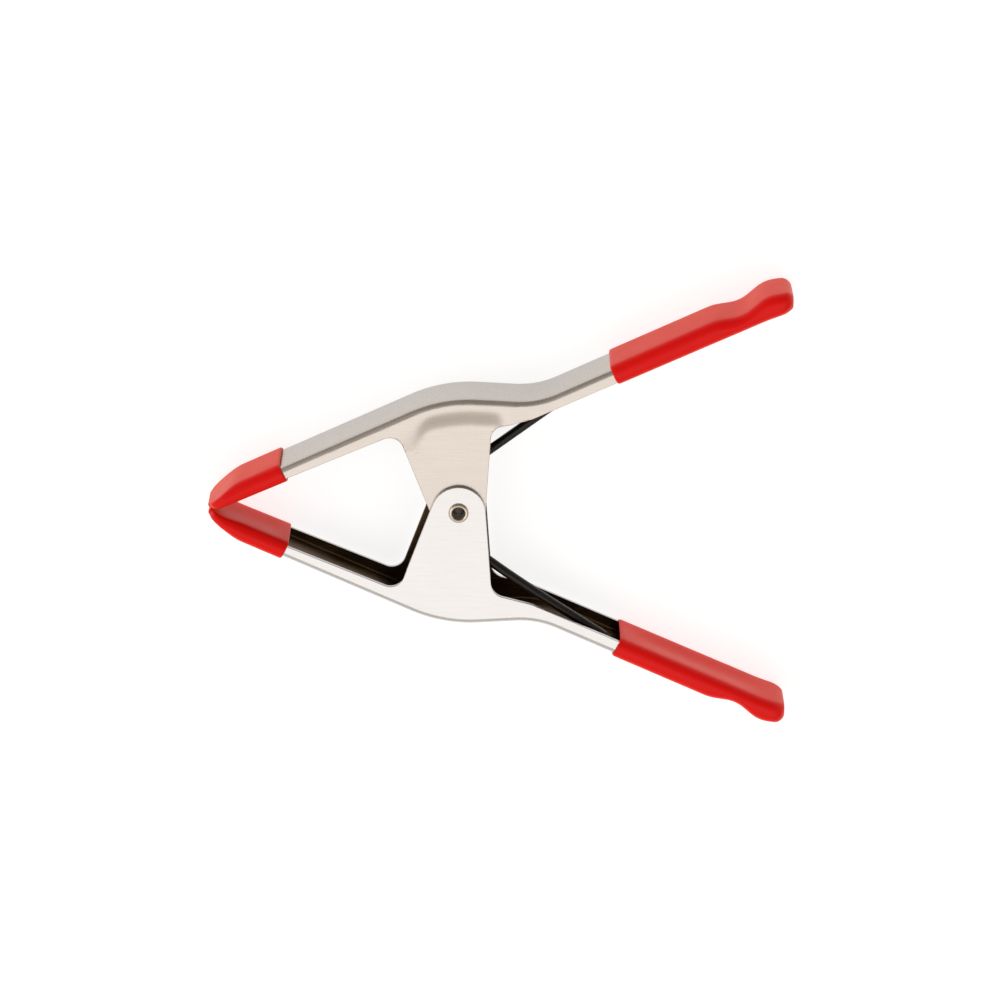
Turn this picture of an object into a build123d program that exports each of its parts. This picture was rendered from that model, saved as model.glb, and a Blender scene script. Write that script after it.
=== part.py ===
from build123d import *
from math import asin, atan2, cos, degrees, hypot, pi, radians, sin, tan
import os

# Spring clamp of the 50 mm class: two pressed steel channel arms crossing at a hollow rivet, closed by a
# torsion spring between the ears, with dipped vinyl tips on the jaws and dipped vinyl grips on the handles.
#
# Frame: the clamp lies on its side. Origin at the middle of the rivet, +Z along the rivet, +X towards the
# handles, +Y towards the inner (upper) arm. The outer (lower) arm is the same side outline turned over in Y.
# All sizes are in millimetres and degrees.

# Arm outline, seen along the rivet. Distances are from the rivet's centre.
jaw_reach = 70.6            # to the nose of the vinyl jaw tips
upper_handle_reach = 93.3   # to the end of the upper grip
lower_handle_reach = 93.5   # to the end of the lower grip
arm_rise = 34.2             # height of the corner between jaw run and crown, before rounding
crown_front = 4.5           # that corner's distance towards the jaws
neck_back = 22.0            # distance to the corner between crown and handle run
crown_fall = 1.45           # how much lower that second corner is
jaw_slope = 24.7
handle_slope = 24.7
crown_radius = 40.0
neck_radius = 24.0

# Jaw nose
nose_length = 8.1           # the bent-down stretch at the jaw's end
knee_radius = 12.0

# Handle's finger stop, as steps along X and Y from the end of the straight run
stop_length = 21.7
dip_step = (7.5, 1.1)
ramp_step = (6.6, 6.0)
lip_step = (6.0, 1.0)
lip_drop = 3.8
stop_radii = (9.0, 7.0, 5.0, 2.0)

# Flanges and ears. Depths are measured straight down from the web's outer line.
handle_flange_depth = 4.84
flange_end_back = 7.1       # where the flange starts to narrow, ahead of the handle's end
ear_radius = 7.6
jaw_root_x = -17.05         # corner between the jaw flange's edge and the ear
jaw_root_depth = 4.93
handle_root_x = 9.3         # corner between the ear and the handle flange's edge
handle_root_depth = 8.85
shoulder_x = 20.5           # where the handle flange's edge turns into its straight run
shoulder_depth = 5.2
jaw_root_radius = 4.0
handle_root_radius = 4.5
shoulder_radius = 10.0
narrowing_radius = 3.0

# Sheet metal
sheet = 1.2
channel_width = 17.2
bend_radius = 1.8           # outside radius where web turns into flange
ear_clearance = 0.15        # between the outer arm's ears and the inner arm's ears
pocket_ramp = 4.6           # length of the slope that brings the inner arm's ears inwards
pocket_side = 4.4           # how far that slope starts outside the ear's roots
bend_margin = 0.9           # flat left between the bend and the top of the slope

# Dipped vinyl
vinyl = 0.9
vinyl_edge_radius = 1.7
mouth_depth = 2.2           # depth under the web at which a mouth's distance is measured
tip_mouth_x = -49.0
upper_grip_mouth_x = 43.3
lower_grip_mouth_x = 44.6
jaw_gap = 0.16              # between the two tips when closed

# Rivet
rivet_bore_radius = 1.8
rivet_shank_radius = 2.3
rivet_lip = 0.5             # how far the rolled head stands out over the shank
rivet_head_height = 0.8
rivet_head_round = 0.35
pivot_clearance = 0.05      # radial, between the shank and the inner arm's holes

# Torsion spring
wire = 2.6
coil_cover = 0.05           # how far the coil stays inside the ears' round ends
turn_gap = 0.12             # between one turn and the next
side_gap = 0.2              # between the coil and the inner arm's ears, at least
leg_end_x = 41.5            # where the legs bear on the handles' webs
leg_clearance = 0.1
knuckle_swell = 0.02        # how much the bend between coil and leg stands proud of the wire

# Values that follow from those above
half_width = channel_width / 2
joggle = sheet + ear_clearance
coil_radius = ear_radius - coil_cover - wire / 2    # to the middle of the wire
coil_pitch = wire + turn_gap
coil_room = 2 * (half_width - joggle - sheet - side_gap)
nose_height = vinyl + jaw_gap / 2                   # lowest point of the metal nose
far = 200.0                                         # reaches past the whole clamp
past = 8.0                                          # how far a cutting outline runs past the metal


def web_corners(handle_reach):
    """Corners of the web's outer line from the nose to the lip of the finger stop."""
    crown = (-crown_front, arm_rise)
    neck = (neck_back, arm_rise - crown_fall)
    knee_x = -(jaw_reach - nose_length)
    knee = (knee_x, arm_rise - tan(radians(jaw_slope)) * (-crown_front - knee_x))
    nose = (-(jaw_reach - vinyl), nose_height)
    run_x = handle_reach - stop_length
    corners = [nose, knee, crown, neck, (run_x, handle_line(run_x))]
    for step in (dip_step, ramp_step, lip_step):
        corners.append((corners[-1][0] + step[0], corners[-1][1] + step[1]))
    return corners


def handle_line(x):
    """Height of the handle's straight outer line at x."""
    return arm_rise - crown_fall + tan(radians(handle_slope)) * (x - neck_back)


def web_height(x, handle_reach=upper_handle_reach):
    """Height of the web's outer line at x, before its corners are rounded."""
    web = web_corners(handle_reach)
    for left, right in zip(web, web[1:]):
        if left[0] <= x <= right[0]:
            return left[1] + (right[1] - left[1]) * (x - left[0]) / (right[0] - left[0])
    return far


def beyond(start, end, distance):
    """The point a distance past end, on the line from start to end."""
    run = hypot(end[0] - start[0], end[1] - start[1])
    return tuple(end[i] + (end[i] - start[i]) * distance / run for i in range(2))


def ear_tangent(root, side):
    """Where a line from the ear's root touches the round end of the ear, side +1 towards the handles."""
    root_angle = atan2(root[1], root[0])
    opening = pi / 2 - asin(ear_radius / hypot(*root))
    angle = root_angle - side * opening
    return (ear_radius * cos(angle), ear_radius * sin(angle))


def ear_roots():
    """Corners between the flanges' edges and the ear: jaw side, then handle side."""
    jaw_root = (jaw_root_x, web_height(jaw_root_x) - jaw_root_depth)
    handle_root = (handle_root_x, web_height(handle_root_x) - handle_root_depth)
    return jaw_root, handle_root


def flange_face(handle_reach):
    """Side view of an arm without its ear."""
    web = web_corners(handle_reach)
    jaw_root, handle_root = ear_roots()
    narrow_x = handle_reach - vinyl - flange_end_back
    edge = [
        (handle_reach - vinyl, web[-1][1] - lip_drop),
        (narrow_x, handle_line(narrow_x) - handle_flange_depth),
        (shoulder_x, web_height(shoulder_x) - shoulder_depth),
        handle_root,
        jaw_root,
    ]
    web_radii = [0, knee_radius, crown_radius, neck_radius, *stop_radii]
    edge_radii = [0, narrowing_radius, shoulder_radius, 0, 0]
    return make_face(FilletPolyline(*web, *edge, close=True, radius=web_radii + edge_radii))


def arm_face(handle_reach):
    """Side view of a whole arm, with the ear and its rounded roots."""
    jaw_root, handle_root = ear_roots()
    touch_handle = ear_tangent(handle_root, 1)
    touch_jaw = ear_tangent(jaw_root, -1)
    inside = (0, arm_rise / 2)
    ear_edge = Polyline(touch_jaw, jaw_root, inside, handle_root, touch_handle)
    ear = make_face([ear_edge, ThreePointArc(touch_handle, (0, -ear_radius), touch_jaw)])
    root_line = Polyline(jaw_root, handle_root, inside, close=True)
    face = flange_face(handle_reach) + ear + make_face(root_line)
    for root, radius in ((jaw_root, jaw_root_radius), (handle_root, handle_root_radius)):
        face = fillet(face.vertices().sort_by_distance(Vector(*root))[0], radius)
    return face


def under_web_face(handle_reach):
    """Everything below the web's inner line, running past the arm's ends and its ear."""
    web = web_corners(handle_reach)
    first = beyond(web[1], web[0], past)
    last = beyond(web[-2], web[-1], past)
    corners = [first, *web[1:-1], last, (last[0], -far), (first[0], -far)]
    radii = [0, knee_radius, crown_radius, neck_radius, *stop_radii[:-1], 0, 0, 0]
    return offset(make_face(FilletPolyline(*corners, close=True, radius=radii)), -sheet)


def slab(face, width):
    """A side view drawn out to both sides of the middle plane."""
    return extrude(face, amount=width / 2, both=True)


def web_edges(solid, width, handle_reach):
    """The long edges between the web and the flanges, on both sides."""
    web = web_corners(handle_reach)
    found = ShapeList()
    for edge in solid.edges():
        middle = edge @ 0.5
        on_side = abs(abs(middle.Z) - width / 2) < 0.01 and edge.length > 0.01
        if on_side and web[0][0] < middle.X < web[-1][0]:
            if middle.Y > web_height(middle.X, handle_reach) - 2 * sheet:
                found.append(edge)
    return found


def envelope(handle_reach, face):
    """A side view drawn out to the channel's width, with the bends rounded."""
    block = slab(face, channel_width)
    return fillet(web_edges(block, channel_width, handle_reach), bend_radius)


def hollow(handle_reach):
    """What the channel is hollowed by: all that lies inside web and flanges."""
    width = channel_width - 2 * sheet
    block = slab(under_web_face(handle_reach), width)
    return fillet(web_edges(block, width, handle_reach), bend_radius - sheet)


def pocket(top, rise=0.0):
    """Tapered pocket of the inner arm's flange: down by the joggle from a height, and open above it."""
    jaw_root, handle_root = ear_roots()
    left, right = jaw_root[0] + 1.0, handle_root[0] + 0.9
    slope_start = bend_radius + bend_margin
    crown_x = -2 * crown_front
    wide = [(left - pocket_side - 1.0, web_height(left - pocket_side - 1.0) - slope_start - 0.9),
            (crown_x, web_height(crown_x) - slope_start),
            (right + pocket_side, web_height(right + pocket_side) - slope_start)]
    deep = [(left, wide[0][1] - 2.5),
            (crown_x + 2.5, wide[1][1] - pocket_ramp),
            (right, wide[2][1] - pocket_ramp)]
    faces = []
    for corners, height in ((deep, top - joggle), (wide, top)):
        bottom = [(corners[-1][0], -past), (corners[0][0], -past)]
        faces.append(Pos(0, 0, height) * make_face(Polyline(*corners, *bottom, close=True)))
    tapered = loft(faces, ruled=True)
    return tapered + extrude(faces[1], amount=rise) if rise else tapered


def pivot_hole(radius):
    return Cylinder(radius, channel_width + 2 * past)


def make_outer_arm():
    channel = envelope(lower_handle_reach, arm_face(lower_handle_reach)) - hollow(lower_handle_reach)
    return mirror(channel - pivot_hole(rivet_shank_radius), Plane.XZ)


def make_inner_arm():
    face = arm_face(upper_handle_reach)
    channel = envelope(upper_handle_reach, face) - hollow(upper_handle_reach)
    bulge = pocket(half_width - sheet) & slab(face, channel_width)
    cut = pocket(half_width, rise=past)
    channel = channel + bulge + mirror(bulge, Plane.XY) - cut - mirror(cut, Plane.XY)
    return channel - pivot_hole(rivet_shank_radius + pivot_clearance)


def make_sleeve(handle_reach, mouth_x, mouth_y, slope, side):
    """Dipped vinyl over one end of an arm, from its mouth outwards, side +1 towards the handles."""
    width = channel_width + 2 * vinyl
    end_zone = Pos(mouth_x, mouth_y) * Rot(0, 0, slope) * Pos(side * far / 2, 0) * Rectangle(far, far)
    skin = slab(offset(flange_face(handle_reach), vinyl) & end_zone, width)
    along = Vector(cos(radians(slope)), sin(radians(slope)))
    rims = ShapeList()
    for edge in skin.edges():
        middle = edge @ 0.5
        from_mouth = (middle - Vector(mouth_x, mouth_y, middle.Z)).dot(along)
        if abs(abs(middle.Z) - width / 2) < 0.01 and abs(from_mouth) > 0.01:
            rims.append(edge)
    return fillet(rims, vinyl_edge_radius) - envelope(handle_reach, arm_face(handle_reach))


def make_tip():
    mouth_y = web_height(tip_mouth_x) - mouth_depth
    return make_sleeve(upper_handle_reach, tip_mouth_x, mouth_y, jaw_slope, -1)


def make_grip(handle_reach, mouth_x):
    mouth_y = handle_line(mouth_x) - mouth_depth
    return make_sleeve(handle_reach, mouth_x, mouth_y, handle_slope, 1)


def make_rivet():
    """Hollow rivet with both ends rolled over the outer arm's ears."""
    length = channel_width + 2 * rivet_head_height
    body = Cylinder(rivet_shank_radius, length)
    disc = Cylinder(rivet_shank_radius + rivet_lip, rivet_head_height)
    for side in (1, -1):
        head = Pos(0, 0, side * (half_width + rivet_head_height / 2)) * disc
        rim = head.edges().filter_by(GeomType.CIRCLE).sort_by(Axis.Z)[-1 if side > 0 else 0]
        body = body + fillet(rim, rivet_head_round)
    return body - Cylinder(rivet_bore_radius, length)


def make_spring():
    """Torsion spring: a close coil with a straight leg under each handle's web."""
    bear_y = handle_line(leg_end_x) - (sheet + leg_clearance) / cos(radians(handle_slope))
    leg_angle = degrees(atan2(bear_y, leg_end_x) - asin((coil_radius + wire / 2) / hypot(leg_end_x, bear_y)))
    leave = 90 + leg_angle
    part_turn = (360 - 2 * leave) / 360
    turns = part_turn + int((coil_room - wire) / coil_pitch - part_turn)
    height = turns * coil_pitch
    path = Rot(0, 0, leave) * Helix(coil_pitch, height, coil_radius)
    start = Plane(origin=path @ 0, z_dir=path % 0)
    coil = Pos(0, 0, -height / 2) * sweep(start * Circle(wire / 2), path=path, is_frenet=True)
    spring = coil
    knuckle = Sphere(wire / 2 + knuckle_swell)
    for side in (1, -1):
        foot = Vector(-sin(radians(leg_angle)), side * cos(radians(leg_angle))) * coil_radius
        foot = Vector(foot.X, foot.Y, -side * height / 2)
        way = Vector(cos(radians(leg_angle)), side * sin(radians(leg_angle)), 0)
        length = (leg_end_x - foot.X) / way.X
        leg = extrude(Plane(origin=foot, z_dir=way) * Circle(wire / 2), amount=length)
        spring = spring + (leg + Pos(*foot) * knuckle)
    return spring


jaw_tip = make_tip()
nodes = {
    "outer_arm": make_outer_arm(),
    "inner_arm": make_inner_arm(),
    "pivot_rivet": make_rivet(),
    "torsion_spring": make_spring(),
    "upper_jaw_tip": jaw_tip,
    "lower_jaw_tip": mirror(jaw_tip, Plane.XZ),
    "upper_grip": make_grip(upper_handle_reach, upper_grip_mouth_x),
    "lower_grip": mirror(make_grip(lower_handle_reach, lower_grip_mouth_x), Plane.XZ),
}

os.makedirs("parts", exist_ok=True)
for name, shape in nodes.items():
    export_step(shape, f"parts/{name}.step")
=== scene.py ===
from math import asin, atan2, cos, hypot, pi, radians, sin, tan

import bmesh
import bpy
from mathutils import Matrix, Vector


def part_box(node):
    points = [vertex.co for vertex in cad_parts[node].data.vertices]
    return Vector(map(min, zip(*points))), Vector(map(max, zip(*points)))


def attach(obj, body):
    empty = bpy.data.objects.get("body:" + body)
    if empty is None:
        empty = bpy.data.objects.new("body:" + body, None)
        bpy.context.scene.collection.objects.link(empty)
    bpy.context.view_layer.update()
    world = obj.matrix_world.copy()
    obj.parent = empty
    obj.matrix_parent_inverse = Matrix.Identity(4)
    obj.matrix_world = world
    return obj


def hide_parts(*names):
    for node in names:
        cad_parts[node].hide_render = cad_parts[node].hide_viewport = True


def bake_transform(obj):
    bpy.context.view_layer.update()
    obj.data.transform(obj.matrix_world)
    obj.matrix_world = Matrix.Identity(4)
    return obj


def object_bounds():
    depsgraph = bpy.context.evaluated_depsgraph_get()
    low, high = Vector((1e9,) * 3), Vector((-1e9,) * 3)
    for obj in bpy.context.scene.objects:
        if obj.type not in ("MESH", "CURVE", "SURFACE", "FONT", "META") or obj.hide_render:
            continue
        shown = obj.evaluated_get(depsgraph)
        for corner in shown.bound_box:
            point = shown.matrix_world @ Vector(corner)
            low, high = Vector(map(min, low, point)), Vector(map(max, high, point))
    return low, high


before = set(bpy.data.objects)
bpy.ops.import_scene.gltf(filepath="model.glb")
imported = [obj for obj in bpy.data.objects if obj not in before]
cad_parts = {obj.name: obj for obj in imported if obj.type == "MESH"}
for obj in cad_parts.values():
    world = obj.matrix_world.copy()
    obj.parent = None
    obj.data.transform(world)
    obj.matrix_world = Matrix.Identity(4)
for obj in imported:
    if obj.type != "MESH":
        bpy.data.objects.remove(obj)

# Spring clamp lying on its side: two pressed steel channel arms on a hollow rivet, a torsion spring between
# their ears, dipped vinyl tips on the jaws and dipped vinyl grips on the handles. Metres, in the frame of the
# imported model: origin mid-rivet, Z along the rivet, X towards the handles, Y towards the inner (upper) arm.
cad_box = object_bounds()
MM = 0.001

# ---------------------------------------------------------------- sizes
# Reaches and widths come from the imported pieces, and the rest from the way the clamp is pressed.
jaw_reach = -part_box("upper_jaw_tip")[0][0]
upper_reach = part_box("upper_grip")[1][0]
lower_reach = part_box("lower_grip")[1][0]
half_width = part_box("inner_arm")[1][2]
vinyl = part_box("upper_grip")[1][2] - half_width
rivet_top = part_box("pivot_rivet")[1][2]
rivet_head_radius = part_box("pivot_rivet")[1][0]

arm_rise = 34.2 * MM
crown_front = 4.5 * MM
neck_back = 22.0 * MM
crown_fall = 1.45 * MM
slope = radians(24.7)
crown_radius = 40.0 * MM
neck_radius = 24.0 * MM
nose_length = 8.1 * MM
knee_radius = 12.0 * MM
nose_kept = 0.35            # share of the bent-down nose that the metal keeps inside the tip

stop_length = 21.7 * MM
stop_steps = ((7.5 * MM, 1.1 * MM), (6.6 * MM, 6.0 * MM), (6.0 * MM, 0.85 * MM))
stop_radii = (11.0 * MM, 10.0 * MM, 8.0 * MM)
metal_short = 4.6 * MM      # the metal stops this far inside the grip's round end
lip_drop = 3.8 * MM

flange_depth = 4.84 * MM
flange_end_back = 7.1 * MM
ear_radius = 7.6 * MM
jaw_root_x = -17.05 * MM
jaw_root_depth = 4.93 * MM
handle_root_x = 9.3 * MM
handle_root_depth = 8.85 * MM
shoulder_x = 20.5 * MM
shoulder_depth = 5.2 * MM
jaw_root_radius = 4.0 * MM
handle_root_radius = 4.5 * MM
shoulder_radius = 10.0 * MM
narrowing_radius = 3.0 * MM

sheet = 1.2 * MM
bend_radius = 1.8 * MM
ear_clearance = 0.15 * MM
joggle = sheet + ear_clearance
joggle_start = 2.1 * MM     # below the web's line
joggle_run = 7.4 * MM
joggle_end_y = 17.4 * MM    # the ear is flat from here down to the rivet
joggle_soft_x = -8.0 * MM   # towards the jaws from here the joggle slopes more gently
joggle_jaw_x = (-22.4 * MM, -13.0 * MM)
joggle_handle_x = (9.8 * MM, 14.8 * MM)
burr = 0.18 * MM            # rounding left on the blanked edges by tumbling

vinyl_edge_radius = 2.5 * MM
vinyl_shell = vinyl - 0.03 * MM
mouth_depth = 2.2 * MM
tip_mouth_x = -49.0 * MM
grip_mouth_x = {"upper": 43.3 * MM, "lower": 44.6 * MM}
jaw_gap = 0.16 * MM
# Round ends of the dipped sleeves: how far they run, and how much they close in from the web, the edge and
# each side.
grip_end = (3.9 * MM, 3.6 * MM, 1.1 * MM, 4.2 * MM)
tip_end = (0.65 * MM, 0.8 * MM, 0.8 * MM, 1.2 * MM)
nose_plan = (6.0 * MM, 4.0 * MM)    # the tip narrows over this length, by this much a side
grip_plan = (1.0 * MM, 0.0)         # the grip keeps its width
grip_sink = 0.5 * MM        # how far the vinyl sinks in between the flanges
tip_sink = 0.3 * MM

rivet_bore_radius = 1.8 * MM
rivet_shank_radius = 2.3 * MM
rivet_clearance = 0.05 * MM
bore_before_shade = 4.5 * MM      # how deep the matt plate reaches into the bore; further in, the bore is painted shade

wire = 2.6 * MM
coil_radius = ear_radius - 0.05 * MM - wire / 2
coil_pitch = 2.72 * MM
leg_end_x = 41.5 * MM
leg_clearance = 0.1 * MM
lower_leg_bow = 1.3 * MM    # the lower leg was set a little outwards where it leaves the coil


# ---------------------------------------------------------------- outlines, seen along the rivet
def rounded(corners, radii, turn_steps=10, run_steps=1):
    """A line through corners, each rounded by its radius: arcs in turn_steps, straight runs in run_steps."""
    stops = [[Vector(corners[0])]]
    for before, corner, after, radius in zip(corners, corners[1:], corners[2:], radii):
        corner = Vector(corner)
        back = (Vector(before) - corner).normalized()
        ahead = (Vector(after) - corner).normalized()
        half_angle = back.angle(ahead) / 2
        middle = corner + (back + ahead).normalized() * radius / sin(half_angle)
        first = corner + back * radius / tan(half_angle) - middle
        turn = (pi - 2 * half_angle) * (-1 if back.cross(ahead) > 0 else 1)
        arc = [middle + Matrix.Rotation(turn * step / turn_steps, 2) @ first
               for step in range(turn_steps + 1)]
        stops.append(arc if radius else [corner])
    stops.append([Vector(corners[-1])])
    line = list(stops[0])
    for stop in stops[1:]:
        start = line[-1]
        for step in range(1, run_steps):
            line.append(start.lerp(stop[0], step / run_steps))
        line += stop
    return line


def moved_aside(line, distances):
    """The line moved to its left by a distance at each point, or by one distance all along."""
    if not hasattr(distances, "__len__"):
        distances = [distances] * len(line)
    aside = []
    for i, (point, distance) in enumerate(zip(line, distances)):
        before = (point - line[i - 1]).normalized() if i else (line[1] - point).normalized()
        after = (line[i + 1] - point).normalized() if i + 1 < len(line) else before
        left = Vector((-before.y - after.y, before.x + after.x)).normalized()
        aside.append(point + left * distance / left.dot(Vector((-before.y, before.x))))
    return aside


def cut_line(line, low_x, high_x):
    """The stretch of a line between two distances along X."""
    kept = [point for point in line[:1] if low_x <= point.x <= high_x]
    for start, end in zip(line, line[1:]):
        for edge in (low_x, high_x):
            if min(start.x, end.x) < edge < max(start.x, end.x):
                kept.append(start.lerp(end, (edge - start.x) / (end.x - start.x)))
        if low_x <= end.x <= high_x:
            kept.append(end)
    return sorted(kept, key=lambda point: point.x)


def along(line, share):
    """The point at a share of the line's length."""
    runs = [(end - start).length for start, end in zip(line, line[1:])]
    left = share * sum(runs)
    for start, end, run in zip(line, line[1:], runs):
        if left <= run:
            return start.lerp(end, left / run)
        left -= run
    return line[-1].copy()


def handle_line(x):
    return arm_rise - crown_fall + tan(slope) * (x - neck_back)


def web_corners(reach):
    """Corners of the web's outer line, from the nose to the lip of the finger stop."""
    knee_x = nose_length - jaw_reach
    knee = Vector((knee_x, arm_rise + tan(slope) * (knee_x + crown_front)))
    nose = Vector((vinyl - jaw_reach, vinyl + jaw_gap / 2))
    run_x = reach - stop_length
    corners = [nose, knee, Vector((-crown_front, arm_rise)), Vector((neck_back, arm_rise - crown_fall)),
               Vector((run_x, handle_line(run_x)))]
    for step in stop_steps:
        corners.append(corners[-1] + Vector(step))
    return corners


def web_line(reach, run_steps=1):
    radii = [knee_radius, crown_radius, neck_radius, *stop_radii]
    return rounded(web_corners(reach), radii, run_steps=run_steps)


def height_at(line, x):
    for start, end in zip(line, line[1:]):
        if start.x <= x <= end.x:
            return start.lerp(end, (x - start.x) / (end.x - start.x)).y
    return line[-1].y if x > line[-1].x else line[0].y


def ear_side(root, side):
    """Direction from the ear's root along its straight edge, side +1 towards the handles."""
    angle = atan2(root.y, root.x) - side * (pi / 2 - asin(ear_radius / root.length))
    touch = Vector((ear_radius * cos(angle), ear_radius * sin(angle)))
    return (touch - root).normalized()


def edge_corners(reach):
    """Corners of the flange's free edge from the nose to the lip, without the ear, and their radii."""
    corners = web_corners(reach)
    crown_line = corners[1:4]
    jaw_root = Vector((jaw_root_x, height_at(crown_line, jaw_root_x) - jaw_root_depth))
    handle_root = Vector((handle_root_x, height_at(crown_line, handle_root_x) - handle_root_depth))
    shoulder = Vector((shoulder_x, height_at(crown_line, shoulder_x) - shoulder_depth))
    narrow_x = reach - vinyl - flange_end_back
    narrow = Vector((narrow_x, handle_line(narrow_x) - flange_depth))
    end = Vector((reach - vinyl, corners[-1].y - lip_drop))
    return corners[0], jaw_root, handle_root, shoulder, narrow, end


def ear_apex(jaw_root, handle_root):
    """Where the ear's two straight edges would meet, if its end were not round."""
    jaw_way, handle_way = ear_side(jaw_root, -1), ear_side(handle_root, 1)
    gap = handle_root - jaw_root
    return jaw_root + jaw_way * (gap.cross(handle_way) / jaw_way.cross(handle_way))


# ---------------------------------------------------------------- mesh helpers
def chain(bm, points, height, closed=False):
    """Vertices along a line at one height over the middle plane, joined by edges."""
    verts = [bm.verts.new((point.x, point.y, height)) for point in points]
    for pair in zip(verts, verts[1:] + verts[:1] if closed else verts[1:]):
        bm.edges.new(pair)
    return verts


def edges_of(bm, verts, closed=False):
    return [bm.edges.get(pair) for pair in zip(verts, verts[1:] + verts[:1] if closed else verts[1:])]


def extruded(bm, verts):
    """The chain extruded once, as a new chain in the same order and still in the same place."""
    made = bmesh.ops.extrude_edge_only(bm, edges=edges_of(bm, verts))["geom"]
    fresh = [item for item in made if isinstance(item, bmesh.types.BMVert)]
    return [min(fresh, key=lambda new: (new.co - old.co).length) for old in verts]


def mirrored(bm):
    """The mesh's near half and its mirror image on the far side, merged where they meet."""
    bmesh.ops.mirror(bm, geom=bm.verts[:] + bm.edges[:] + bm.faces[:], matrix=Matrix(),
                     merge_dist=0.01 * MM, axis="Z")


def turned_out(bm):
    """All faces turned outwards, whichever way the mesh was made."""
    bmesh.ops.recalc_face_normals(bm, faces=bm.faces)
    side_face = max(bm.faces, key=lambda face: face.calc_center_median().z)
    if side_face.normal.z < 0:
        bmesh.ops.reverse_faces(bm, faces=bm.faces)


def piece(bm, name, body, node, materials, turned_over=False):
    """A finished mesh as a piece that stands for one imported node; turned_over mirrors it to the lower arm."""
    if turned_over:
        bmesh.ops.scale(bm, vec=(1, -1, 1), verts=bm.verts)
        bmesh.ops.reverse_faces(bm, faces=bm.faces)
    mesh = bpy.data.meshes.new(name)
    bm.to_mesh(mesh)
    bm.free()
    mesh.shade_smooth()
    for material in materials:
        mesh.materials.append(material)
    made = bpy.data.objects.new(name, mesh)
    bpy.context.scene.collection.objects.link(made)
    if body:
        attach(made, body)
    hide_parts(node)
    return made


def modifier(made, kind, **settings):
    added = made.modifiers.new(kind.title(), kind)
    for name, value in settings.items():
        setattr(added, name, value)
    return added


def eased(share):
    """0 below 0, 1 above 1, and a smooth step between."""
    share = min(max(share, 0.0), 1.0)
    return share * share * (3 - 2 * share)


# ---------------------------------------------------------------- materials
def linear(colour):
    """An sRGB hex colour as linear red, green, blue and alpha."""
    parts = [int(colour[i:i + 2], 16) / 255 for i in (1, 3, 5)]
    return [part / 12.92 if part <= 0.04045 else ((part + 0.055) / 1.055) ** 2.4 for part in parts] + [1.0]


def add(tree, kind, inputs, **settings):
    """One node with its settings, and with each input set or linked."""
    made = tree.nodes.new("ShaderNode" + kind)
    for name, value in settings.items():
        setattr(made, name, value)
    for name, value in inputs.items():
        if isinstance(value, bpy.types.NodeSocket):
            tree.links.new(value, made.inputs[name])
        else:
            made.inputs[name].default_value = value
    return made


def new_material(name):
    material = bpy.data.materials.new(name)
    material.use_nodes = True
    material.node_tree.nodes.clear()
    return material, material.node_tree


def plated_steel(name, bright, dull, rough, rough_spread, bump):
    """Nickel plate over pressed steel: a warm bright mirror, softened by the rolled sheet's grain and handling."""
    material, tree = new_material(name)
    place = add(tree, "TexCoord", {}).outputs["Object"]
    # Rolling grain runs the arm's length: 0.5 mm wide streaks, coarser than the real ones so that they show.
    grain_place = add(tree, "Mapping", {"Vector": place, "Scale": (0.06, 1.0, 1.0)})
    grain = add(tree, "TexNoise", {"Vector": grain_place.outputs[0], "Scale": 1 / (0.5 * MM),
                                   "Detail": 0.0})
    cloud = add(tree, "TexNoise", {"Vector": place, "Scale": 1 / (9 * MM), "Detail": 4.0, "Roughness": 0.6})
    pits = add(tree, "TexNoise", {"Vector": place, "Scale": 1 / (1.6 * MM), "Detail": 0.0})
    colour = add(tree, "Mix", {0: cloud.outputs["Fac"], 6: linear(dull), 7: linear(bright)},
                 data_type="RGBA")
    both = add(tree, "Math", {0: grain.outputs["Fac"], 1: cloud.outputs["Fac"]}, operation="MULTIPLY")
    roughness = add(tree, "MapRange", {"Value": both.outputs[0], "From Min": 0.15, "From Max": 0.4,
                                       "To Min": rough - rough_spread, "To Max": rough + rough_spread})
    heights = add(tree, "Math", {0: grain.outputs["Fac"], 1: 0.25, 2: pits.outputs["Fac"]},
                  operation="MULTIPLY_ADD")
    relief = add(tree, "Bump", {"Height": heights.outputs[0], "Strength": 1.0, "Distance": bump})
    shader = add(tree, "BsdfPrincipled", {"Base Color": colour.outputs[2], "Metallic": 1.0,
                                          "Roughness": roughness.outputs[0], "Normal": relief.outputs[0]})
    add(tree, "OutputMaterial", {"Surface": shader.outputs[0]})
    return material


def blackened_wire():
    """Hard-drawn spring wire, blued in oil: near black with a soft sheen and fine draw lines."""
    material, tree = new_material("oil_blackened_spring_wire")
    place = add(tree, "TexCoord", {}).outputs["Object"]
    cloud = add(tree, "TexNoise", {"Vector": place, "Scale": 1 / (3 * MM), "Detail": 4.0})
    colour = add(tree, "Mix", {0: cloud.outputs["Fac"], 6: linear("#0B0908"), 7: linear("#2A2521")},
                 data_type="RGBA")
    roughness = add(tree, "MapRange", {"Value": cloud.outputs["Fac"], "To Min": 0.24, "To Max": 0.44})
    relief = add(tree, "Bump", {"Height": cloud.outputs["Fac"], "Strength": 1.0, "Distance": 0.02 * MM})
    shader = add(tree, "BsdfPrincipled", {"Base Color": colour.outputs[2], "Metallic": 0.6,
                                          "Roughness": roughness.outputs[0], "Normal": relief.outputs[0]})
    add(tree, "OutputMaterial", {"Surface": shader.outputs[0]})
    return material


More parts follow.
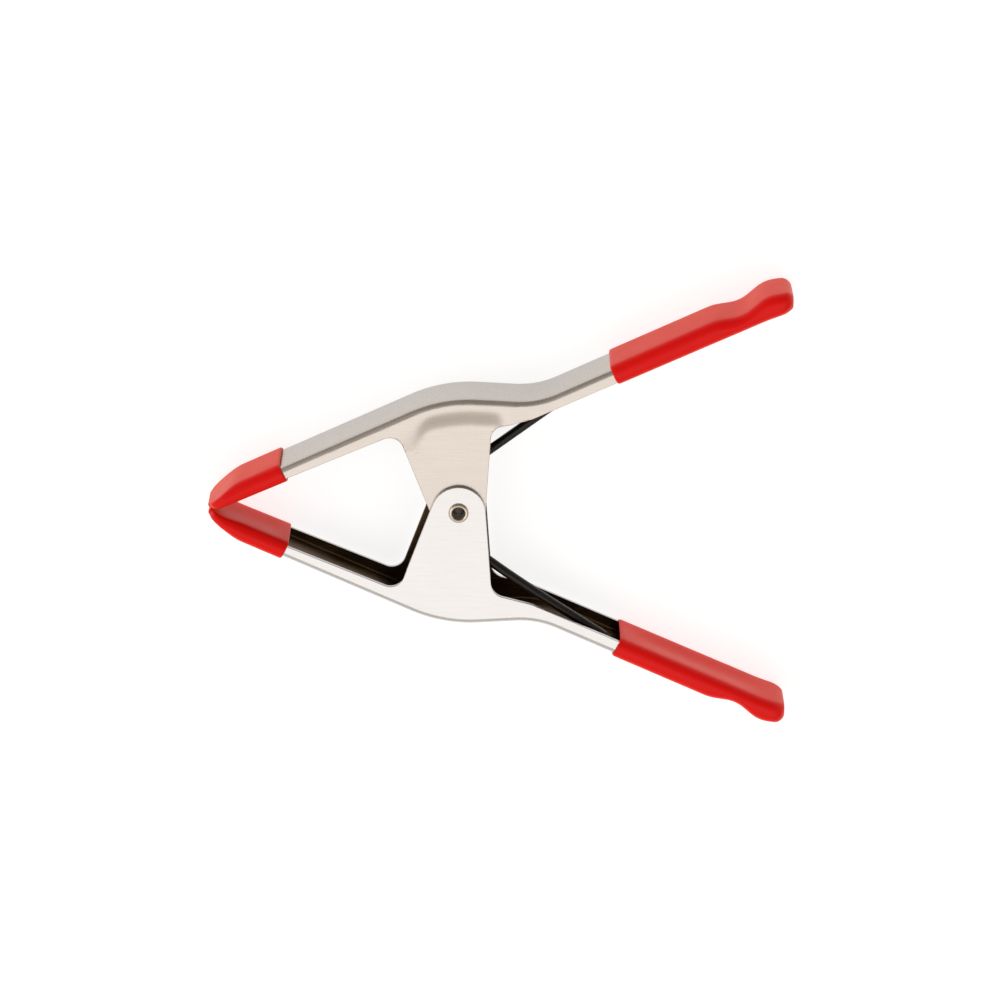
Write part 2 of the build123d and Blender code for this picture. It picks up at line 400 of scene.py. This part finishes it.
def dipped_vinyl():
    """Red vinyl plastisol, dipped and oven-cured: an even glossy red with a faint orange-peel surface."""
    material, tree = new_material("dipped_red_vinyl")
    place = add(tree, "TexCoord", {}).outputs["Object"]
    cloud = add(tree, "TexNoise", {"Vector": place, "Scale": 1 / (14 * MM), "Detail": 3.0})
    peel = add(tree, "TexNoise", {"Vector": place, "Scale": 1 / (1.8 * MM), "Detail": 0.0})
    # Handling leaves the gloss uneven in patches a few millimetres across.
    rub = add(tree, "TexNoise", {"Vector": place, "Scale": 1 / (5 * MM), "Detail": 4.0, "Roughness": 0.5})
    colour = add(tree, "Mix", {0: cloud.outputs["Fac"], 6: linear("#DE0606"), 7: linear("#E80C08")},
                 data_type="RGBA")
    roughness = add(tree, "MapRange", {"Value": rub.outputs["Fac"], "From Min": 0.2, "From Max": 0.8,
                                       "To Min": 0.3, "To Max": 0.38})
    relief = add(tree, "Bump", {"Height": peel.outputs["Fac"], "Strength": 1.0, "Distance": 0.008 * MM})
    shader = add(tree, "BsdfPrincipled", {"Base Color": colour.outputs[2], "Roughness": roughness.outputs[0],
                                          "IOR": 1.24, "Sheen Weight": 0.4,
                                          "Sheen Roughness": 0.4, "Sheen Tint": linear("#FF9238"),
                                          "Normal": relief.outputs[0]})
    add(tree, "OutputMaterial", {"Surface": shader.outputs[0]})
    return material


outer_steel = plated_steel("nickel_plated_outer_pressing", "#CDCCCC", "#C4C3C3", 0.26, 0.02, 0.0006 * MM)
# Painted shade: the inner arm has the same plate as the outer arm, made darker and warmer.
inner_arm_shaded_steel = plated_steel("nickel_plated_inner_pressing_painted_shade", "#C4BDB7", "#BAB2AB", 0.28, 0.02, 0.0006 * MM)
# Painted shade: the inside of the channels and the deep part of the rivet's bore are dark brown, where the same
# plate would be bright.
shade_painted_inside_steel = plated_steel("channel_inside_painted_shade", "#725E48", "#45351F", 0.38, 0.08, 0.01 * MM)
rivet_steel = plated_steel("nickel_plated_rolled_rivet", "#CFC4B6", "#B5A896", 0.24, 0.05, 0.008 * MM)
bore_steel = plated_steel("matt_plated_rivet_bore", "#D8D2CA", "#C4BCB0", 0.6, 0.05, 0.02 * MM)
spring_steel = blackened_wire()
red_vinyl = dipped_vinyl()


# ---------------------------------------------------------------- the two pressed arms
def joggled(x, y, web):
    """Share of the joggle that the inner arm's flange has at a place: none near the web, all of it at the ear."""
    run = joggle_run * (1 + eased((joggle_soft_x - x) / (6 * MM)))
    depth = eased((height_at(web, x) - y - joggle_start) / run)
    from_jaw = eased((x - joggle_jaw_x[0]) / (joggle_jaw_x[1] - joggle_jaw_x[0]))
    to_handle = 1 - eased((x - joggle_handle_x[0]) / (joggle_handle_x[1] - joggle_handle_x[0]))
    return depth * from_jaw * to_handle


def make_arm(name, body, node, reach, steel, hole_radius, joggle_in, turned_over):
    """One arm: flange and ear as a flat blank, bent over into the web, and the same again on the other side."""
    bm = bmesh.new()
    web = web_line(reach)
    nose, jaw_root, handle_root, shoulder, narrow, end = edge_corners(reach)
    knee = web_corners(reach)[1]
    nose_x = knee.x + (nose.x - knee.x) * nose_kept
    metal_end = reach - metal_short
    web = cut_line(web, nose_x, metal_end)
    apex = ear_apex(jaw_root, handle_root)
    lip = Vector((metal_end, narrow.y + (end.y - narrow.y) * (metal_end - narrow.x) / (end.x - narrow.x)))
    edge = rounded([nose, jaw_root, apex, handle_root, shoulder, narrow, lip],
                   [jaw_root_radius, ear_radius, handle_root_radius, shoulder_radius, narrowing_radius],
                   turn_steps=14)
    first = next(i for i, point in enumerate(edge) if point.x > nose_x)
    start = edge[first - 1]
    edge[:first] = [start.lerp(edge[first], (nose_x - start.x) / (edge[first].x - start.x))]
    jaw_depth = [min(bend_radius, 0.55 * (point.y - height_at(edge, point.x))) if point.x < jaw_root.x
                 else bend_radius for point in web]
    fold = moved_aside(web, [-depth for depth in jaw_depth])

    top = chain(bm, fold, half_width)
    below = chain(bm, edge, half_width)
    sides = [bm.edges.new((top[0], below[0])), bm.edges.new((top[-1], below[-1]))]
    hole = bmesh.ops.create_circle(bm, segments=40, radius=hole_radius,
                                   matrix=Matrix.Translation((0, 0, half_width)))
    hole_edges = {edge for vert in hole["verts"] for edge in vert.link_edges}
    loop = edges_of(bm, top) + edges_of(bm, below) + sides + list(hole_edges)
    bmesh.ops.triangle_fill(bm, edges=loop, use_beauty=True, use_dissolve=False, normal=(0, 0, 1))
    inside = [edge for edge in bm.edges if len(edge.link_faces) == 2]
    bmesh.ops.dissolve_limit(bm, angle_limit=radians(1), verts=[], edges=inside,
                             use_dissolve_boundaries=False)

    bend_steps = 6
    row = top
    for step in range(1, bend_steps + 1):
        angle = pi / 2 * step / bend_steps
        row = extruded(bm, row)
        for vert, point, folded, depth in zip(row, web, fold, jaw_depth):
            spot = point.lerp(folded, 1 - sin(angle))
            vert.co = (spot.x, spot.y, half_width - depth * (1 - cos(angle)))
    row = extruded(bm, row)
    for vert in row:
        vert.co.z = 0

    if joggle_in:
        cuts = [((0, joggle_end_y, 0), (0, 1, 0))]
        cuts += [((x * MM, 0, 0), (1, 0, 0)) for x in range(-23, 16)]
        cuts += [((0, y * 0.6 * MM, 0), (0, 1, 0)) for y in range(30, 56)]
        for place, normal in cuts:
            faces = [face for face in bm.faces if face.calc_center_median().z > half_width - 0.01 * MM
                     and (face.calc_center_median().y > joggle_end_y or place == cuts[0][0])]
            parts = {vert for face in faces for vert in face.verts}
            parts |= {edge for face in faces for edge in face.edges}
            bmesh.ops.bisect_plane(bm, geom=faces + list(parts), plane_co=place, plane_no=normal,
                                   dist=0.05 * MM)
        outer = web_line(reach)
        for vert in bm.verts:
            if vert.co.z > half_width - 0.01 * MM:
                vert.co.z -= joggle * joggled(vert.co.x, vert.co.y, outer)
        bmesh.ops.remove_doubles(bm, verts=bm.verts, dist=0.08 * MM)

    mirrored(bm)
    turned_out(bm)
    made = piece(bm, name, body, node, [steel, shade_painted_inside_steel], turned_over)
    # The inner skin of the sheet takes the second material, the painted shade of the channel's inside.
    modifier(made, "SOLIDIFY", thickness=sheet, offset=-1, use_even_offset=True, material_offset=1,
             material_offset_rim=0)
    modifier(made, "BEVEL", width=burr, segments=2, limit_method="ANGLE", angle_limit=radians(50),
             use_clamp_overlap=False)
    modifier(made, "WEIGHTED_NORMAL", weight=50)
    return made


make_arm("outer_arm_pressing", "outer_arm_body", "outer_arm", lower_reach, outer_steel,
         rivet_shank_radius, False, True)
make_arm("inner_arm_pressing", "inner_arm_body", "inner_arm", upper_reach, inner_arm_shaded_steel,
         rivet_shank_radius + rivet_clearance, True, False)


# ---------------------------------------------------------------- dipped vinyl
def section(bm, top, bottom, half, corner, sink):
    """A ring of vertices round the arm, from its top point to its bottom point, sunk a little underneath."""
    up = (top - bottom) / 2
    middle = (top + bottom) / 2
    tall = up.length
    corner = min(corner, tall * 0.98, half * 0.98)
    box = [(0, -tall), (half, -tall), (half, tall), (-half, tall), (-half, -tall), (0, -tall)]
    line = rounded(box, [corner] * 4, turn_steps=5, run_steps=5)[:-1]
    flat = half - corner
    verts = []
    for point in line:
        lift = point.y
        if point.y < -tall + corner / 2 and abs(point.x) < flat:
            lift += sink * (1 - (point.x / flat) ** 2) ** 2
        spot = middle + up.normalized() * lift
        verts.append(bm.verts.new((spot.x, spot.y, point.x)))
    for pair in zip(verts, verts[1:] + verts[:1]):
        bm.edges.new(pair)
    return verts


def make_sleeve(name, body, node, top, bottom, end, narrowing, sink, turned_over):
    """One dipped sleeve from its mouth to its round end: rings along the arm, bridged, with a thin wall."""
    advance, top_round, under_round, side_round = end
    bm = bmesh.new()
    full_half = half_width + vinyl
    rings = []
    stations = 36
    for station in range(stations + 1):
        share = station / stations
        sunk = sink * eased(share / 0.25) * eased((1 - share) / 0.25)
        place = along(top, share)
        near_end = max(1 - (top[-1] - place).length / narrowing[0], 0)
        half = full_half - narrowing[1] * (1 - (1 - near_end ** 2) ** 0.5)
        rings.append(section(bm, place, along(bottom, share), half, vinyl_edge_radius, sunk))
    out = (top[-1] - along(top, 0.93)).normalized() + (bottom[-1] - along(bottom, 0.93)).normalized()
    out.normalize()
    cap_steps = 6
    for step in range(1, cap_steps):
        angle = pi / 2 * step / cap_steps
        shrink = 1 - cos(angle)
        shift = out * advance * sin(angle)
        inwards = (bottom[-1] - top[-1]).normalized() * shrink
        rings.append(section(bm, top[-1] + inwards * top_round + shift,
                             bottom[-1] - inwards * under_round + shift, half - side_round * shrink,
                             vinyl_edge_radius, 0))
    for ring, following in zip(rings, rings[1:]):
        bmesh.ops.bridge_loops(bm, edges=edges_of(bm, ring, True) + edges_of(bm, following, True))
    bm.faces.new(rings[-1])
    turned_out(bm)
    made = piece(bm, name, body, node, [red_vinyl], turned_over)
    modifier(made, "SOLIDIFY", thickness=vinyl_shell, offset=-1)
    modifier(made, "SUBSURF", levels=1, render_levels=1)
    return made


def grip_lines(reach, mouth_x):
    """Top and bottom lines of a grip, from its mouth to where its end starts to round off."""
    shoulder, narrow, end = edge_corners(reach)[3:]
    top = moved_aside(web_line(reach), vinyl)
    under = moved_aside(rounded([shoulder, narrow, end], [narrowing_radius]), -vinyl)
    lean = Vector((-sin(slope), cos(slope)))
    mouth = Vector((mouth_x, handle_line(mouth_x) - mouth_depth))
    top_x = (mouth + lean * (mouth_depth + vinyl)).x
    under_x = (mouth - lean * (flange_depth * cos(slope) - mouth_depth + vinyl)).x
    end_x = reach - grip_end[0]
    return cut_line(top, top_x, end_x), cut_line(under, under_x, end_x)


def tip_lines():
    """Top and bottom lines of a jaw tip, from its mouth to its nose."""
    nose, jaw_root = edge_corners(upper_reach)[:2]
    top = moved_aside(web_line(upper_reach), vinyl)
    # The dip runs to the nose and leaves it a little fuller underneath, where the jaws meet.
    full = Vector((-61.5 * MM, height_at([nose, jaw_root], -61.5 * MM) - 0.35 * MM))
    under = moved_aside(rounded([nose, full, jaw_root], [12 * MM]), -vinyl)
    lean = Vector((-sin(slope), cos(slope)))
    mouth = Vector((tip_mouth_x, height_at(web_line(upper_reach), tip_mouth_x) - mouth_depth))
    top_x = (mouth + lean * (mouth_depth + vinyl)).x
    under_x = (mouth - lean * (flange_depth * cos(slope) - mouth_depth + vinyl)).x
    top = cut_line(top, top[0].x - MM, top_x)
    under = cut_line(under, under[0].x - MM, under_x)
    return top[::-1], under[::-1]


for side, reach, body, turned_over in (("upper", upper_reach, "inner_arm_body", False),
                                       ("lower", lower_reach, "outer_arm_body", True)):
    top, bottom = grip_lines(reach, grip_mouth_x[side])
    make_sleeve(side + "_grip_vinyl", body, side + "_grip", top, bottom, grip_end, grip_plan, grip_sink,
                turned_over)
    top, bottom = tip_lines()
    make_sleeve(side + "_tip_vinyl", body, side + "_jaw_tip", top, bottom, tip_end, nose_plan, tip_sink,
                turned_over)


# ---------------------------------------------------------------- rivet
def make_rivet():
    """Hollow rivet, spun from one half of its wall's section, with its end rolled over the outer ear."""
    bm = bmesh.new()
    head = rivet_top - half_width
    corners = [(rivet_bore_radius, 0), (rivet_bore_radius, rivet_top), (rivet_head_radius, rivet_top),
               (rivet_head_radius, half_width), (rivet_shank_radius, half_width), (rivet_shank_radius, 0)]
    wall = rounded(corners, [0.42 * MM, head * 0.7, 0.1 * MM, 0.05 * MM], turn_steps=6)
    wall.insert(1, Vector((rivet_bore_radius, rivet_top - bore_before_shade)))
    verts = [bm.verts.new((point.x, 0, point.y)) for point in wall]
    for pair in zip(verts, verts[1:]):
        bm.edges.new(pair)
    bmesh.ops.spin(bm, geom=verts + edges_of(bm, verts), axis=(0, 0, 1), cent=(0, 0, 0), angle=2 * pi,
                   steps=64, use_merge=True)
    mirrored(bm)
    bmesh.ops.remove_doubles(bm, verts=bm.verts, dist=0.002 * MM)
    turned_out(bm)
    # Faces in the bore take the matt plate near its ends and the channel inside's painted shade deeper in.
    for face in bm.faces:
        spot = face.calc_center_median()
        if spot.xy.length < rivet_bore_radius:
            face.material_index = 1 if abs(spot.z) > rivet_top - bore_before_shade else 2
    return piece(bm, "rolled_rivet", "outer_arm_body", "pivot_rivet",
                 [rivet_steel, bore_steel, shade_painted_inside_steel])


make_rivet()


# ---------------------------------------------------------------- torsion spring
def make_spring():
    """Close coil round the rivet, with a straight leg lying under each handle's web."""
    bear_y = handle_line(leg_end_x) - (sheet + leg_clearance) / cos(slope)
    lean = atan2(bear_y, leg_end_x) - asin((coil_radius + wire / 2) / hypot(leg_end_x, bear_y))
    leave = pi / 2 + lean
    turns = 3 + (2 * pi - 2 * leave) / (2 * pi)
    height = turns * coil_pitch
    leg = (leg_end_x + coil_radius * sin(lean)) / cos(lean)
    steps = round(turns * 40)
    bm = bmesh.new()
    place = Matrix.Translation((coil_radius * cos(leave), coil_radius * sin(leave), -height / 2))
    place = place @ Matrix.Rotation(leave, 4, "Z") @ Matrix.Rotation(pi / 2, 4, "X")
    ring = bmesh.ops.create_circle(bm, segments=20, radius=wire / 2, matrix=place)["verts"]
    edges = list({edge for vert in ring for edge in vert.link_edges})
    made = bmesh.ops.spin(bm, geom=ring + edges, axis=(0, 0, 1), cent=(0, 0, 0), angle=turns * 2 * pi,
                          steps=steps, dvec=(0, 0, height / steps))["geom_last"]
    last = [item for item in made if isinstance(item, bmesh.types.BMEdge)]
    end_round = 0.25 * MM
    leg_steps = 24
    for rim, side, bow in ((edges, 1, 0.0), (last, -1, lower_leg_bow)):
        way, outwards = Vector((cos(lean), side * sin(lean), 0)), Vector((-sin(lean), side * cos(lean), 0))
        bowed = 0.0
        for step in range(1, leg_steps + 2):
            shrink = end_round if step > leg_steps else 0
            grown = bmesh.ops.extrude_edge_only(bm, edges=rim)["geom"]
            verts = [item for item in grown if isinstance(item, bmesh.types.BMVert)]
            rim = [item for item in grown if isinstance(item, bmesh.types.BMEdge)]
            rim = [edge for edge in rim if all(vert in verts for vert in edge.verts)]
            now = bow * sin(pi * min(step / leg_steps, 1.0) ** 0.7)
            run = shrink or (leg - end_round) / leg_steps
            bmesh.ops.translate(bm, vec=way * run + outwards * (now - bowed), verts=verts)
            bowed = now
            if shrink:
                centre = sum((vert.co for vert in verts), Vector()) / len(verts)
                for vert in verts:
                    vert.co = centre + (vert.co - centre) * (1 - shrink / (wire / 2))
        bmesh.ops.edgeloop_fill(bm, edges=rim)
    bmesh.ops.recalc_face_normals(bm, faces=bm.faces)
    made = piece(bm, "coiled_torsion_spring", None, "torsion_spring", [spring_steel])
    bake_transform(made)


make_spring()


# ---------------------------------------------------------------- floor, light and camera
def make_floor():
    bm = bmesh.new()
    bmesh.ops.create_grid(bm, x_segments=1, y_segments=1, size=2.5)
    bmesh.ops.translate(bm, vec=(0, 0, cad_box[0][2] - 0.0002), verts=bm.verts)
    mesh = bpy.data.meshes.new("floor")
    bm.to_mesh(mesh)
    bm.free()
    material, tree = new_material("matt_white_paper")
    place = add(tree, "TexCoord", {}).outputs["Object"]
    cloud = add(tree, "TexNoise", {"Vector": place, "Scale": 3.0})
    tone = add(tree, "Mix", {0: cloud.outputs["Fac"], 6: linear("#9C9C9C"), 7: linear("#A0A0A0")},
               data_type="RGBA")
    shader = add(tree, "BsdfPrincipled", {"Base Color": tone.outputs[2], "Roughness": 0.9,
                                          "Emission Color": linear("#FFFFFF"), "Emission Strength": 0.8})
    add(tree, "OutputMaterial", {"Surface": shader.outputs[0]})
    mesh.materials.append(material)
    floor = bpy.data.objects.new("floor", mesh)
    bpy.context.scene.collection.objects.link(floor)


def make_softbox(name, place, aim, size, power, colour):
    lamp = bpy.data.lights.new(name, "AREA")
    lamp.shape = "RECTANGLE"
    lamp.size, lamp.size_y = size
    lamp.energy = power
    lamp.color = linear(colour)[:3]
    box = bpy.data.objects.new(name, lamp)
    box.location = place
    box.rotation_euler = (Vector(aim) - Vector(place)).to_track_quat("-Z", "Y").to_euler()
    bpy.context.scene.collection.objects.link(box)


def make_camera():
    tilt = radians(20)
    distance = 1.2
    aim = Vector((11.65 * MM, 3.9 * MM, half_width))
    lens = bpy.data.cameras.new("camera")
    lens.sensor_width = 36
    lens.lens = 154
    lens.clip_start = 0.01
    camera = bpy.data.objects.new("camera", lens)
    camera.location = aim + Vector((0, sin(tilt), cos(tilt))) * distance
    camera.rotation_euler = (-tilt, 0, 0)
    bpy.context.scene.collection.objects.link(camera)
    bpy.context.scene.camera = camera


def make_world():
    world = bpy.data.worlds.new("studio")
    world.use_nodes = True
    tree = world.node_tree
    # The studio is bright behind the light and dim beyond the object, which draws the bends' dark lines.
    way = add(tree, "SeparateXYZ", {0: add(tree, "TexCoord", {}).outputs["Generated"]})
    slant = add(tree, "Math", {0: way.outputs["X"], 1: 0.7, 2: way.outputs["Y"]}, operation="MULTIPLY_ADD")
    strength = add(tree, "MapRange", {"Value": slant.outputs[0], "From Min": -0.4, "From Max": 0.4,
                                      "To Min": 0.8, "To Max": 0.36})
    background = tree.nodes["Background"]
    background.inputs["Color"].default_value = linear("#FFF6EC")
    tree.links.new(strength.outputs[0], background.inputs["Strength"])
    bpy.context.scene.world = world


make_floor()
make_softbox("overhead_softbox", (0.0, -0.55, 1.5), (0, 0, 0), (2.8, 1.05), 8.2, "#FFFFFF")
make_softbox("jaw_side_softbox", (-1.2, 0.2, 0.9), (0, 0, 0), (0.9, 0.9), 3, "#FFFFFF")
make_softbox("handle_side_softbox", (1.3, 0.1, 0.9), (0, 0, 0), (0.9, 0.9), 1.3, "#FFFFFF")
make_camera()
make_world()
bpy.context.scene.view_settings.view_transform = "Standard"
